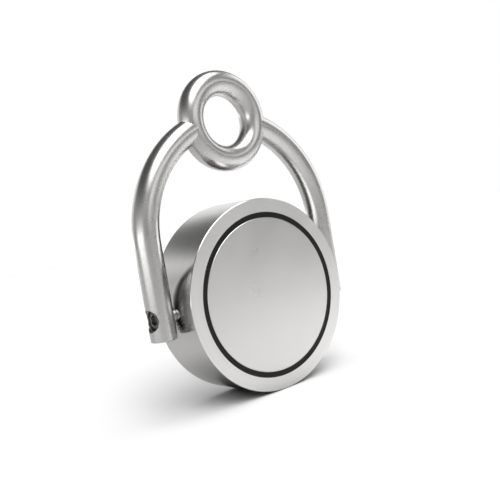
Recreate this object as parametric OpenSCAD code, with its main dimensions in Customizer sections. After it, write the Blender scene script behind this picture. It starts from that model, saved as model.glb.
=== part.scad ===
// Two-sided fishing magnet: a round steel casing with a disc magnet bonded into each face,
// hung between the legs of a round-bar bail and free to turn over on two pivot screws.
// Millimetres. The origin is the centre of the lifting eye. +Z is up along the bail,
// X is the pivot axis, and the front magnet faces -Y.

/* [Magnets and casing] */
// Diameter of each disc magnet
magnet_d = 60; // [40:1:90]
// Thickness of each disc magnet, which sits flush with the casing's rim
magnet_t = 8; // [5:0.5:15]
// Bevel on the edges of each disc magnet
magnet_bevel = 0.15; // [0.1:0.05:0.6]
// Width of the ring of epoxy between a magnet and the casing
glue_gap = 1.8; // [0.8:0.1:3]
// Depth of the epoxy's surface below the magnet's face
glue_sink = 0.1; // [0.05:0.05:0.5]
// Width of the casing's steel rim outside the epoxy
rim_w = 5.7; // [4:0.1:12]
// Thickness of the steel web between the two magnets
web_t = 9; // [7:0.5:16]
// Bevel on the casing's two outer edges
rim_bevel = 0.25; // [0.1:0.05:1]

/* [Bail] */
// Diameter of the round bar of the two arms
arm_rod_d = 10; // [9.5:0.1:14]
// Gap between the casing's wall and each arm
side_gap = 0.6; // [0.4:0.1:3]
// Straight length of each arm above the pivot axis
leg_rise = 27; // [20:1:60]
// Length of each arm below the pivot axis
leg_drop = 8; // [6:0.5:14]
// Bevel on the lower end of each arm
leg_bevel = 0.25; // [0.1:0.05:1]
// Diameter of the hole in the lifting eye
eye_hole_d = 20; // [16:0.5:30]
// Diameter of the round bar of the lifting eye
eye_rod_d = 10; // [10:0.1:14]

/* [Pivot screws] */
// Diameter of the plain shoulder that an arm turns on
shoulder_d = 5; // [4.5:0.1:5.5]
// Diameter of the screw's head
head_d = 7.2; // [6.5:0.1:7.5]
// Height of the screw's head
head_h = 3; // [2.5:0.1:3.5]
// Bevel on the rim of the head
head_bevel = 0.3; // [0.1:0.05:0.5]
// Depth of the head's top below the flat that is milled on the arm
head_sink = 0.6; // [0.1:0.1:1.2]
// Depth of that flat below the outermost line of the arm
flat_depth = 1.6; // [1:0.1:2]
// Width of the rim of that flat round the counterbore
flat_rim = 0.3; // [0.1:0.05:0.6]
// Width across the flats of the head's hexagon socket
socket_af = 4; // [2:0.5:4]
// Depth of the head's hexagon socket
socket_depth = 1.8; // [1:0.1:2]
// Diameter of the threaded end in the casing
thread_d = 4; // [3:0.5:4]
// Length of the threaded end in the casing
thread_l = 8; // [5:0.5:12]
// Bevel on the tip of the threaded end
tip_bevel = 0.5; // [0.2:0.05:0.8]
// Depth that the tapped hole runs on past the screw's tip
hole_spare = 1.5; // [0.5:0.1:3]
// Depth of the flat seat that is cut in the casing's wall for the shoulder
seat_depth = 0.3; // [0.2:0.05:0.6]

/* [Fits] */
// Radial clearance of the shoulder in the arm's bore
shoulder_fit = 0.05; // [0.02:0.01:0.1]
// Radial clearance of the head in the arm's counterbore
head_gap = 0.3; // [0.2:0.05:0.4]
// Play of the arm along the shoulder, under the head
end_play = 0.1; // [0.05:0.05:0.3]
// Radial clearance of the shoulder in its seat in the casing
seat_gap = 0.2; // [0.1:0.05:0.4]
// Hairline between pieces that are bonded, welded or screwed together
hairline = 0.02; // [0.01:0.01:0.04]

/* [Hidden] */
$fn = 128;

casing_t = web_t + 2 * magnet_t;
pocket_r = magnet_d / 2 + glue_gap;
casing_r = pocket_r + rim_w;

// The arms stand beside the casing and bend into one arch. The eye's centre is at the
// arch's highest point, so each arm runs into the side of the eye.
leg_x = casing_r + side_gap + arm_rod_d / 2;
arch_r = leg_x;
eye_r = (eye_hole_d + eye_rod_d) / 2;
pivot_z = -(leg_rise + arch_r);
arch_angle = 90 - 2 * asin(eye_r / (2 * arch_r));

// Stations along the pivot axis, measured outwards from the casing's centre.
flat_x = leg_x + arm_rod_d / 2 - flat_depth;
head_top_x = flat_x - head_sink;
head_under_x = head_top_x - head_h;
seat_x = casing_r - seat_depth;
thread_tip_x = seat_x - thread_l;
thread_hole_x = thread_tip_x - hole_spare;
counterbore_x = head_under_x - end_play;

// A cutter runs this far past the surface that it opens.
overrun = 1;
// A drill leaves a cone of this height for each unit of its radius.
drill_point = 0.6;

// Turns a profile of [radius, distance outwards] points about the pivot axis,
// on the right-hand side of the casing.
module along_pivot(profile) {
    translate([0, 0, pivot_z])
        rotate([0, 90, 0])
            rotate_extrude()
                polygon(profile);
}

// Turns a profile of [radius, distance forwards] points about the casing's own axis.
module about_casing(profile) {
    translate([0, 0, pivot_z])
        rotate([90, 0, 0])
            rotate_extrude()
                polygon(profile);
}

module tapped_hole() {
    hole_r = thread_d / 2 + hairline;
    along_pivot([
        [0, thread_hole_x - drill_point * hole_r],
        [hole_r, thread_hole_x],
        [hole_r, seat_x],
        [shoulder_d / 2 + seat_gap, seat_x],
        [shoulder_d / 2 + seat_gap, casing_r + overrun],
        [0, casing_r + overrun]
    ]);
}

// One turned piece: a deep pocket in each face, and a web between them that takes the screws.
module casing() {
    color([0.78, 0.78, 0.77])
        difference() {
            about_casing([
                [0, -web_t / 2],
                [pocket_r, -web_t / 2],
                [pocket_r, -casing_t / 2],
                [casing_r - rim_bevel, -casing_t / 2],
                [casing_r, -casing_t / 2 + rim_bevel],
                [casing_r, casing_t / 2 - rim_bevel],
                [casing_r - rim_bevel, casing_t / 2],
                [pocket_r, casing_t / 2],
                [pocket_r, web_t / 2],
                [0, web_t / 2]
            ]);
            tapped_hole();
            mirror([1, 0, 0]) tapped_hole();
        }
}

// A plated disc with bevelled edges, lying on the web.
module front_magnet() {
    color([0.74, 0.74, 0.73])
        about_casing([
            [0, web_t / 2],
            [magnet_d / 2 - magnet_bevel, web_t / 2],
            [magnet_d / 2, web_t / 2 + magnet_bevel],
            [magnet_d / 2, casing_t / 2 - magnet_bevel],
            [magnet_d / 2 - magnet_bevel, casing_t / 2],
            [0, casing_t / 2]
        ]);
}

module back_magnet() {
    mirror([0, 1, 0]) front_magnet();
}

// The black resin that was poured round a magnet and bonds it into its pocket.
module front_epoxy_ring() {
    color([0.12, 0.12, 0.12])
        about_casing([
            [magnet_d / 2 + hairline, web_t / 2],
            [pocket_r - hairline, web_t / 2],
            [pocket_r - hairline, casing_t / 2 - glue_sink],
            [magnet_d / 2 + hairline, casing_t / 2 - glue_sink]
        ]);
}

module back_epoxy_ring() {
    mirror([0, 1, 0]) front_epoxy_ring();
}

// A shoulder screw: the arm turns on the shoulder, which bears on the casing's seat,
// and the head sits inside the arm.
module right_pivot_screw() {
    color([0.7, 0.7, 0.7])
        difference() {
            along_pivot([
                [0, thread_tip_x],
                [thread_d / 2 - tip_bevel, thread_tip_x],
                [thread_d / 2, thread_tip_x + tip_bevel],
                [thread_d / 2, seat_x],
                [shoulder_d / 2, seat_x],
                [shoulder_d / 2, head_under_x],
                [head_d / 2, head_under_x],
                [head_d / 2, head_top_x - head_bevel],
                [head_d / 2 - head_bevel, head_top_x],
                [0, head_top_x]
            ]);
            translate([head_top_x - socket_depth, 0, pivot_z])
                rotate([0, 90, 0])
                    cylinder(h = socket_depth + overrun, d = socket_af / cos(30), $fn = 6);
        }
}

module left_pivot_screw() {
    mirror([1, 0, 0]) right_pivot_screw();
}

// The round ring that the rope or shackle goes through.
module eye_ring() {
    color([0.76, 0.76, 0.75])
        ring(eye_rod_d / 2);
}

module ring(tube_r) {
    rotate([90, 0, 0])
        rotate_extrude()
            translate([eye_r, 0])
                circle(r = tube_r);
}

// The hole that is drilled across an arm for its screw, with the counterbore for the head
// and a small round flat milled on the bar where the counterbore opens.
module arm_bore() {
    bore_r = shoulder_d / 2 + shoulder_fit;
    counterbore_r = head_d / 2 + head_gap;
    along_pivot([
        [0, casing_r],
        [bore_r, casing_r],
        [bore_r, counterbore_x],
        [counterbore_r, counterbore_x],
        [counterbore_r, flat_x],
        [counterbore_r + flat_rim, flat_x],
        [counterbore_r + flat_rim, leg_x + arm_rod_d / 2 + overrun],
        [0, leg_x + arm_rod_d / 2 + overrun]
    ]);
}

// A round bar, straight beside the casing and bent into the arch above it. Its upper end
// is hollowed to the eye's round section, where it is welded on.
module right_arm() {
    color([0.76, 0.76, 0.75])
        difference() {
            union() {
                translate([leg_x, 0, pivot_z - leg_drop])
                    cylinder(h = leg_bevel, d1 = arm_rod_d - 2 * leg_bevel, d2 = arm_rod_d);
                translate([leg_x, 0, pivot_z - leg_drop + leg_bevel])
                    cylinder(h = leg_drop - leg_bevel + leg_rise, d = arm_rod_d);
                translate([0, 0, -arch_r])
                    rotate([90, 0, 0])
                        rotate_extrude(angle = arch_angle)
                            translate([arch_r, 0])
                                circle(d = arm_rod_d);
            }
            ring(eye_rod_d / 2 + hairline);
            arm_bore();
        }
}

module left_arm() {
    mirror([1, 0, 0]) right_arm();
}

casing();
front_magnet();
back_magnet();
front_epoxy_ring();
back_epoxy_ring();
left_pivot_screw();
right_pivot_screw();
left_arm();
right_arm();
eye_ring();
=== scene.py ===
import math

import bpy
import numpy as np
from mathutils import Matrix, Vector


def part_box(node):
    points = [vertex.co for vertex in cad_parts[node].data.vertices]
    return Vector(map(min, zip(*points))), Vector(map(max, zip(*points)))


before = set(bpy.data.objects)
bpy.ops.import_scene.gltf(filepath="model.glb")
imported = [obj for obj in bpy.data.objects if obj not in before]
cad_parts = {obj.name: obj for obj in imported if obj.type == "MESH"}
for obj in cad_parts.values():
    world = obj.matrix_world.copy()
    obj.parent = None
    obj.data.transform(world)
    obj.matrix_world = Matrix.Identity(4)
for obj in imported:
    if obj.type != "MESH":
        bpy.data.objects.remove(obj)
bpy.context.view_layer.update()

# Camera
# The magnet is seen from its left and a little above, through a 50 mm lens held slightly rolled.
# It hangs still, with its front magnet turned half away.
lens_mm = 50.0
sensor_mm = 36.0
nearest, farthest = 0.01, 100.0
camera_place = (-0.16922, -0.22055, -0.03614)
camera_right = Vector((0.77097, -0.61425, -0.16823))
camera_up = Vector((0.16816, -0.05843, 0.98403))

lens = bpy.data.cameras.new("lens")
lens.lens = lens_mm
lens.sensor_width = sensor_mm
lens.clip_start = nearest
lens.clip_end = farthest
camera = bpy.data.objects.new("camera", lens)
camera_back = camera_right.cross(camera_up)
camera.matrix_world = Matrix.Translation(camera_place) @ Matrix(
    (camera_right, camera_up, camera_back)
).transposed().to_4x4()
bpy.context.scene.collection.objects.link(camera)
bpy.context.scene.camera = camera
bpy.context.scene.view_settings.view_transform = "Standard"


# Floor
# A plain white sheet right under the casing. It looks white but for the casing's soft shadow,
# which is partly cast by the lights and partly a painted shadow close under the casing.
# The metal mirrors it as a grey sheet with a painted pool of light to the right of the magnet.
floor_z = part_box("casing")[0].z
floor_reach = 1.6
floor_white = 0.8
floor_in_view = 1.0
painted_pool_middle = (0.20, -0.02, floor_z)
painted_pool_fade = (0.10, 0.35)
painted_pool_in_metal = 1.25
floor_in_metal = 0.66
# Painted shadow that darkens the sheet close under the casing: its width, its quality, and its
# strength as a power.
painted_shadow_reach = 0.03
painted_shadow_samples = 8
painted_shadow_in_view = 0.2
painted_shadow_in_metal = 1.0


def add(tree, kind, settings=None, **inputs):
    """Adds a shader node. settings are its own options. inputs are values, or sockets to link,
    by the input's name with _ for a space, or by its place as in_0."""
    made = tree.nodes.new(kind)
    for key, value in (settings or {}).items():
        setattr(made, key, value)
    for key, value in inputs.items():
        place = int(key[3:]) if key.startswith("in_") else key.replace("_", " ")
        if isinstance(value, bpy.types.NodeSocket):
            tree.links.new(value, made.inputs[place])
        else:
            made.inputs[place].default_value = value
    return made


def reckon(tree, operation, *values, clamp=False):
    """One math node: operation applied to values, which are numbers or sockets."""
    inputs = {f"in_{i}": value for i, value in enumerate(values)}
    settings = {"operation": operation, "use_clamp": clamp}
    return add(tree, "ShaderNodeMath", settings, **inputs).outputs[0]


def measure(tree, operation, *vectors):
    """One vector node whose answer is a number, such as a length, a distance or a product."""
    inputs = {f"in_{i}": vector for i, vector in enumerate(vectors)}
    return add(tree, "ShaderNodeVectorMath", {"operation": operation}, **inputs).outputs["Value"]


def mix(tree, share, first, second):
    """Goes from first to second as share goes from 0 to 1: first + share * (second - first)."""
    settings = {"data_type": "FLOAT"}
    return add(tree, "ShaderNodeMix", settings, Factor=share, A=first, B=second).outputs[0]


def fall(tree, value, start, end, first, last):
    """A smooth step from first to last as value goes from start to end."""
    return add(tree, "ShaderNodeMapRange", {"interpolation_type": "SMOOTHSTEP"}, Value=value,
               From_Min=start, From_Max=end, To_Min=first, To_Max=last).outputs[0]


# One square, floor_reach to each side of the middle.
corners = np.array([(-1, -1, 0), (1, -1, 0), (1, 1, 0), (-1, 1, 0)]) * floor_reach
corners = corners + (0, 0, floor_z)
floor_mesh = bpy.data.meshes.new("floor")
floor_mesh.from_pydata(corners.tolist(), [], [(0, 1, 2, 3)])
floor = bpy.data.objects.new("floor", floor_mesh)
bpy.context.scene.collection.objects.link(floor)

sheet = bpy.data.materials.new("white_sheet_painted_shadow_and_pool")
sheet.use_nodes = True
tree = sheet.node_tree
tree.nodes.clear()
ray = add(tree, "ShaderNodeLightPath").outputs
mirrored = reckon(tree, "ADD", ray["Is Glossy Ray"], ray["Is Transmission Ray"], clamp=True)
place = add(tree, "ShaderNodeTexCoord").outputs["Object"]
# Painted pool of light: the sheet as the metal mirrors it is brightest round a point right of the
# magnet, and fades away from it.
away = measure(tree, "DISTANCE", place, painted_pool_middle)
painted_in_metal = fall(tree, away, *painted_pool_fade, painted_pool_in_metal, floor_in_metal)
# Painted shadow: the sheet's colour is darkened by its occlusion close under the casing.
painted_contact_shadow = add(tree, "ShaderNodeAmbientOcclusion", {"samples": painted_shadow_samples},
           Distance=painted_shadow_reach).outputs["AO"]
painted_in_view = reckon(tree, "MULTIPLY", reckon(tree, "POWER", painted_contact_shadow, painted_shadow_in_view), floor_in_view)
painted_in_metal = reckon(tree, "MULTIPLY", reckon(tree, "POWER", painted_contact_shadow, painted_shadow_in_metal), painted_in_metal)
white = mix(tree, mirrored, floor_white, painted_in_metal)
white = mix(tree, ray["Is Camera Ray"], white, painted_in_view)
white = add(tree, "ShaderNodeCombineColor", Red=white, Green=white, Blue=white).outputs[0]
cloth = add(tree, "ShaderNodeBsdfDiffuse", Color=white)
add(tree, "ShaderNodeOutputMaterial", Surface=cloth.outputs[0])
floor_mesh.materials.append(sheet)

# Studio
# A grey room that is darker above, with white and dark panels round the object and a large
# round softbox in front and above. The floor's own light is a dome with one lamp on the left.
room_grey = 0.43
ceiling_grey = 0.10
ceiling_deg = (19.0, 44.1)
# Each panel: its middle's azimuth, the angles to its side at which it starts and ends its
# fall, the elevation of its lower edge, those of its top edge's fall, and its level.
panels = (
    (-80.0, 14.0, 36.0, -20.0, -0.8, 17.2, 3.31),
    (68.0, 13.0, 50.0, -20.0, 18.9, 49.4, 1.27),
    (179.0, 15.0, 38.0, -20.0, 9.0, 17.0, 3.53),
    (87.0, 11.0, 35.0, -20.0, 33.5, 54.9, 1.70),
    (27.0, 32.0, 55.0, -20.0, 24.9, 39.5, 0.25),
    (162.0, 30.0, 62.0, 0.9, 14.3, 21.3, 0.07),
    (172.0, 28.0, 45.0, 4.0, 23.5, 33.5, 1.05),
    (18.0, 8.0, 33.0, 7.2, 15.3, 26.3, 1.59),
    (28.0, 49.0, 95.0, 59.3, 85.0, 89.0, 4.50),
)
panel_edge_deg = 6.0
softbox_deg = (-12.4, 55.4)
softbox_fall_deg = (6.1, 28.4)
softbox_level = 4.71
floor_lamp_deg = (-23.7, 47.4)
floor_lamp_fall_deg = (8.4, 18.4)
floor_lamp_level = 8.0
floor_dome_deg = (10.0, 60.0)
floor_dome = (0.12, 0.57)
backdrop_in_view = 1.0


def direction(azimuth_deg, elevation_deg):
    """Unit vector of a direction: azimuth 0 is -Y and 90 is +X, elevation is above the floor."""
    azimuth, elevation = math.radians(azimuth_deg), math.radians(elevation_deg)
    return Vector((
        math.sin(azimuth) * math.cos(elevation),
        -math.cos(azimuth) * math.cos(elevation),
        math.sin(elevation),
    ))


def cosines(*angles_deg):
    """The cosine of each angle."""
    return [math.cos(math.radians(angle)) for angle in angles_deg]


def sines(*angles_deg):
    """The sine of each angle, which is the height of a direction at that elevation."""
    return [math.sin(math.radians(angle)) for angle in angles_deg]


def lamp_in(tree, way, level, place_deg, fall_deg, lamp_level):
    """The level with a round lamp in it, at an azimuth and elevation, that falls off between
    two angles from its middle."""
    nearness = measure(tree, "DOT_PRODUCT", way, direction(*place_deg))
    inner, outer = cosines(*fall_deg)
    return mix(tree, fall(tree, nearness, outer, inner, 0.0, 1.0), level, lamp_level)


world = bpy.data.worlds.new("studio")
bpy.context.scene.world = world
world.use_nodes = True
tree = world.node_tree
tree.nodes.clear()
way = add(tree, "ShaderNodeTexCoord").outputs["Generated"]
height = add(tree, "ShaderNodeSeparateXYZ", Vector=way).outputs["Z"]
level_way = add(tree, "ShaderNodeVectorMath", {"operation": "MULTIPLY"}, in_0=way,
                in_1=(1.0, 1.0, 0.0)).outputs[0]
level_way = add(tree, "ShaderNodeVectorMath", {"operation": "NORMALIZE"}, in_0=level_way).outputs[0]
level = fall(tree, height, *sines(*ceiling_deg), room_grey, ceiling_grey)
for azimuth, inner, outer, bottom, top_from, top_to, strength in panels:
    nearness = measure(tree, "DOT_PRODUCT", level_way, direction(azimuth, 0.0))
    across = fall(tree, nearness, *cosines(outer, inner), 0.0, 1.0)
    below_top = fall(tree, height, *sines(top_from, top_to), 1.0, 0.0)
    bottom_fade = sines(bottom - panel_edge_deg, bottom + panel_edge_deg)
    above_bottom = fall(tree, height, *bottom_fade, 0.0, 1.0)
    share = reckon(tree, "MULTIPLY", across, reckon(tree, "MULTIPLY", below_top, above_bottom))
    level = mix(tree, share, level, strength)
level = lamp_in(tree, way, level, softbox_deg, softbox_fall_deg, softbox_level)
on_floor = fall(tree, height, *sines(*floor_dome_deg), *floor_dome)
on_floor = lamp_in(tree, way, on_floor, floor_lamp_deg, floor_lamp_fall_deg, floor_lamp_level)
ray = add(tree, "ShaderNodeLightPath").outputs
level = mix(tree, ray["Is Diffuse Ray"], level, on_floor)
level = mix(tree, ray["Is Camera Ray"], level, backdrop_in_view)
room = add(tree, "ShaderNodeBackground", Color=(1.0, 1.0, 1.0, 1.0), Strength=level)
add(tree, "ShaderNodeOutputWorld", Surface=room.outputs[0])


# Casing
# One piece of steel turned on a lathe, with a pocket in each face. Its wall is polished bright,
# and its two rims are faced off and left satin, with fine rings from the tool. The one steel is
# coloured darker on the wall, as painted shade, and lighter on the rims, as painted light.
# A little of the black resin has been wiped over the inner edge of each rim.
axis_z = (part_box("casing")[0].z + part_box("casing")[1].z) / 2
casing_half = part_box("casing")[1].y
rim_skin = 0.00004
ring_drift = 0.0004
wall_color_painted_shade = (0.490, 0.485, 0.477)
rim_color_painted_light = (0.704, 0.697, 0.686)
wall_rough = (0.11, 0.17)
rim_rough = (0.33, 0.41)
haze_per_m = 90.0
tool_rings_per_m = 1400.0
tool_tint = (0.97, 1.03)
tool_depth = 0.000004
smear_width = 0.00032
smear_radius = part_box("front_epoxy_ring")[1].x + smear_width
smear_share = 0.05


def noise(tree, vector, scale, detail=2.0, roughness=0.5):
    """Smooth noise about 0.5 at each point of vector."""
    return add(tree, "ShaderNodeTexNoise", Vector=vector, Scale=scale, Detail=detail,
               Roughness=roughness).outputs[0]


def spread(tree, value, low, high):
    """Takes noise between 0.3 and 0.7 to the range from low to high."""
    return add(tree, "ShaderNodeMapRange", Value=value, From_Min=0.3, From_Max=0.7,
               To_Min=low, To_Max=high).outputs[0]


def blank(name):
    """A new material with an empty node tree."""
    made = bpy.data.materials.new(name)
    made.use_nodes = True
    made.node_tree.nodes.clear()
    return made


def finish_with(node, material):
    """Gives a CAD node its material."""
    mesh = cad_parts[node].data
    mesh.materials.clear()
    mesh.materials.append(material)


def bare_metal(tree, color, grey, roughness, bump_height, bump_depth):
    """Bare metal of a colour that is multiplied by grey, with bumps bump_depth metres deep."""
    tint = add(tree, "ShaderNodeVectorMath", {"operation": "SCALE"}, in_0=color,
               Scale=grey).outputs[0]
    bump = add(tree, "ShaderNodeBump", Height=bump_height, Distance=bump_depth, Strength=1.0)
    shader = add(tree, "ShaderNodeBsdfPrincipled", Base_Color=tint, Metallic=1.0,
                 Roughness=roughness, Normal=bump.outputs[0])
    add(tree, "ShaderNodeOutputMaterial", Surface=shader.outputs[0])


def turned(tree, axis_z):
    """Three sockets for a piece turned about the axis along Y at height axis_z: the distance
    from that axis, Y, and a point whose noise makes rings about the axis. That point is
    (distance, Y, distance) plus ring_drift times the unit vector away from the axis."""
    point = add(tree, "ShaderNodeTexCoord").outputs["Object"]
    point = add(tree, "ShaderNodeVectorMath", {"operation": "SUBTRACT"}, in_0=point,
                in_1=(0.0, 0.0, axis_z)).outputs[0]
    depth = add(tree, "ShaderNodeSeparateXYZ", Vector=point).outputs["Y"]
    flat = add(tree, "ShaderNodeVectorMath", {"operation": "MULTIPLY"}, in_0=point,
               in_1=(1.0, 0.0, 1.0)).outputs[0]
    radius = measure(tree, "LENGTH", flat)
    around = add(tree, "ShaderNodeVectorMath", {"operation": "NORMALIZE"}, in_0=flat).outputs[0]
    around = add(tree, "ShaderNodeVectorMath", {"operation": "SCALE"}, in_0=around,
                 Scale=ring_drift).outputs[0]
    across = add(tree, "ShaderNodeCombineXYZ", X=radius, Y=depth, Z=radius).outputs[0]
    rings = add(tree, "ShaderNodeVectorMath", {"operation": "ADD"}, in_0=across,
                in_1=around).outputs[0]
    return radius, depth, rings


casing_steel = blank("casing_steel")
tree = casing_steel.node_tree
radius, depth, rings = turned(tree, axis_z)
on_rim = reckon(tree, "GREATER_THAN", reckon(tree, "ABSOLUTE", depth), casing_half - rim_skin)
marks = noise(tree, rings, tool_rings_per_m, 3.0, 0.6)
point = add(tree, "ShaderNodeTexCoord").outputs["Object"]
haze = noise(tree, point, haze_per_m, 3.0)
rough = mix(tree, on_rim, spread(tree, haze, *wall_rough), spread(tree, haze, *rim_rough))
# Painted shade and painted light: the one steel is coloured darker on the wall, lighter on the
# rims.
color = add(tree, "ShaderNodeMix", {"data_type": "VECTOR"}, Factor=on_rim, in_4=wall_color_painted_shade,
            in_5=rim_color_painted_light).outputs[1]
smeared = reckon(tree, "LESS_THAN", radius, smear_radius)
clean = mix(tree, smeared, 1.0, smear_share)
grey = reckon(tree, "MULTIPLY", spread(tree, marks, *tool_tint), clean)
bare_metal(tree, color, grey, rough, marks, tool_depth)
finish_with("casing", casing_steel)

# Magnets
# A ground disc in each pocket, flush with the rim, with satin nickel plating. The plating is
# even, with a faint cloud in its sheen and the fine tooth of the ground face under it.
plating_color = (0.641, 0.634, 0.625)
plating_rough = (0.27, 0.33)
plating_cloud_per_m = 70.0
plating_tint = (0.985, 1.015)
tooth_per_m = 2600.0
tooth_depth = 0.0000012

plating = blank("satin_nickel")
tree = plating.node_tree
point = add(tree, "ShaderNodeTexCoord").outputs["Object"]
cloud = noise(tree, point, plating_cloud_per_m, 2.0)
tooth = noise(tree, point, tooth_per_m, 2.0)
bare_metal(tree, plating_color, spread(tree, cloud, *plating_tint),
           spread(tree, cloud, *plating_rough), tooth, tooth_depth)
finish_with("front_magnet", plating)
finish_with("back_magnet", plating)

# Epoxy rings
# Black resin poured between each magnet and its pocket, and wiped level. It has set with a
# soft, slightly uneven sheen.
resin_black = (0.0056, 0.0104)
resin_dust_per_m = 5000.0
resin_rough = (0.34, 0.5)
resin_shine = 0.2
resin_waves_per_m = 380.0
resin_depth = 0.00002

resin = blank("black_resin")
tree = resin.node_tree
point = add(tree, "ShaderNodeTexCoord").outputs["Object"]
waves = noise(tree, point, resin_waves_per_m, 2.0)
black = spread(tree, noise(tree, point, resin_dust_per_m, 1.0), *resin_black)
black = add(tree, "ShaderNodeCombineColor", Red=black, Green=black, Blue=black).outputs[0]
bump = add(tree, "ShaderNodeBump", Height=waves, Distance=resin_depth, Strength=1.0)
shader = add(tree, "ShaderNodeBsdfPrincipled", Base_Color=black,
             Roughness=spread(tree, waves, *resin_rough), Specular_IOR_Level=resin_shine,
             Normal=bump.outputs[0])
add(tree, "ShaderNodeOutputMaterial", Surface=shader.outputs[0])
finish_with("front_epoxy_ring", resin)
finish_with("back_epoxy_ring", resin)

# Bail
# Two bent round bars welded to the sides of a ring of the same bar, ground smooth and polished.
# Fine lines from the drawing and polishing run along each bar.
bar_radius = 0.005
arch_z = -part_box("right_arm")[1].x + bar_radius
bail_color = (0.569, 0.562, 0.551)
bail_rough = (0.25, 0.30)
bail_cloud_per_m = 160.0
line_per_m = 2200.0
line_stretch = 0.03
line_tint = (0.985, 1.015)
line_depth = 0.0000008


def bar_steel(name, centre_z, straight_below):
    """Steel with lines along a bar that is bent about the axis along Y at height centre_z. Where
    straight_below is set, the bar runs straight down from that height. The lines are noise at
    (distance from the bend's axis, Y, Z times line_stretch)."""
    made = blank(name)
    tree = made.node_tree
    point = add(tree, "ShaderNodeTexCoord").outputs["Object"]
    part = add(tree, "ShaderNodeSeparateXYZ", Vector=point)
    rise = reckon(tree, "SUBTRACT", part.outputs["Z"], centre_z)
    if straight_below:
        rise = reckon(tree, "MAXIMUM", rise, 0.0)
    bend = add(tree, "ShaderNodeCombineXYZ", X=part.outputs["X"], Y=rise, Z=0.0).outputs[0]
    reach = measure(tree, "LENGTH", bend)
    along = reckon(tree, "MULTIPLY", part.outputs["Z"], line_stretch)
    lines_at = add(tree, "ShaderNodeCombineXYZ", X=reach, Y=part.outputs["Y"], Z=along).outputs[0]
    lines = noise(tree, lines_at, line_per_m, 3.0, 0.6)
    cloud = noise(tree, point, bail_cloud_per_m, 2.0)
    bare_metal(tree, bail_color, spread(tree, lines, *line_tint),
               spread(tree, cloud, *bail_rough), lines, line_depth)
    return made


arm_steel = bar_steel("arm_steel", arch_z, True)
finish_with("left_arm", arm_steel)
finish_with("right_arm", arm_steel)
finish_with("eye_ring", bar_steel("eye_steel", 0.0, False))

# Pivot screws
# Turned shoulder screws that hold the casing between the arms. The neck is bright. The head,
# which sits deep in the arm, has painted shade from its hole in its colour: darkest on its face,
# lighter at its edge and lighter still in its socket.
screw_color = (0.62, 0.612, 0.6)
screw_rough = (0.24, 0.34)
screw_rings_per_m = 5000.0
screw_tint = (0.95, 1.05)
screw_depth = 0.000003
head_height = 0.003
end_play = 0.0001
neck_end_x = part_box("right_pivot_screw")[1].x - head_height - end_play
painted_shade_on_head_face = 0.15
head_edge_radius = 0.0033
painted_shade_on_head_edge = 0.3
socket_radius = 0.00225
painted_shade_in_socket = 0.5

screw_steel = blank("screw_steel")
tree = screw_steel.node_tree
point = add(tree, "ShaderNodeTexCoord").outputs["Object"]
point = add(tree, "ShaderNodeVectorMath", {"operation": "SUBTRACT"}, in_0=point,
            in_1=(0.0, 0.0, axis_z)).outputs[0]
out = reckon(tree, "ABSOLUTE", add(tree, "ShaderNodeSeparateXYZ", Vector=point).outputs["X"])
flat = add(tree, "ShaderNodeVectorMath", {"operation": "MULTIPLY"}, in_0=point,
           in_1=(0.0, 1.0, 1.0)).outputs[0]
across = measure(tree, "LENGTH", flat)
rings = add(tree, "ShaderNodeCombineXYZ", X=out, Y=across, Z=0.0).outputs[0]
marks = noise(tree, rings, screw_rings_per_m, 2.0)
on_head = reckon(tree, "GREATER_THAN", out, neck_end_x)
on_edge = reckon(tree, "GREATER_THAN", across, head_edge_radius)
in_socket = reckon(tree, "LESS_THAN", across, socket_radius)
# Painted shade: the head's colour is darkened as the shade in its hole, most on its face.
painted_head_shade = mix(tree, in_socket, mix(tree, on_edge, painted_shade_on_head_face, painted_shade_on_head_edge), painted_shade_in_socket)
grey = reckon(tree, "MULTIPLY", spread(tree, marks, *screw_tint), mix(tree, on_head, 1.0, painted_head_shade))
bare_metal(tree, screw_color, grey, spread(tree, marks, *screw_rough), marks, screw_depth)
finish_with("left_pivot_screw", screw_steel)
finish_with("right_pivot_screw", screw_steel)
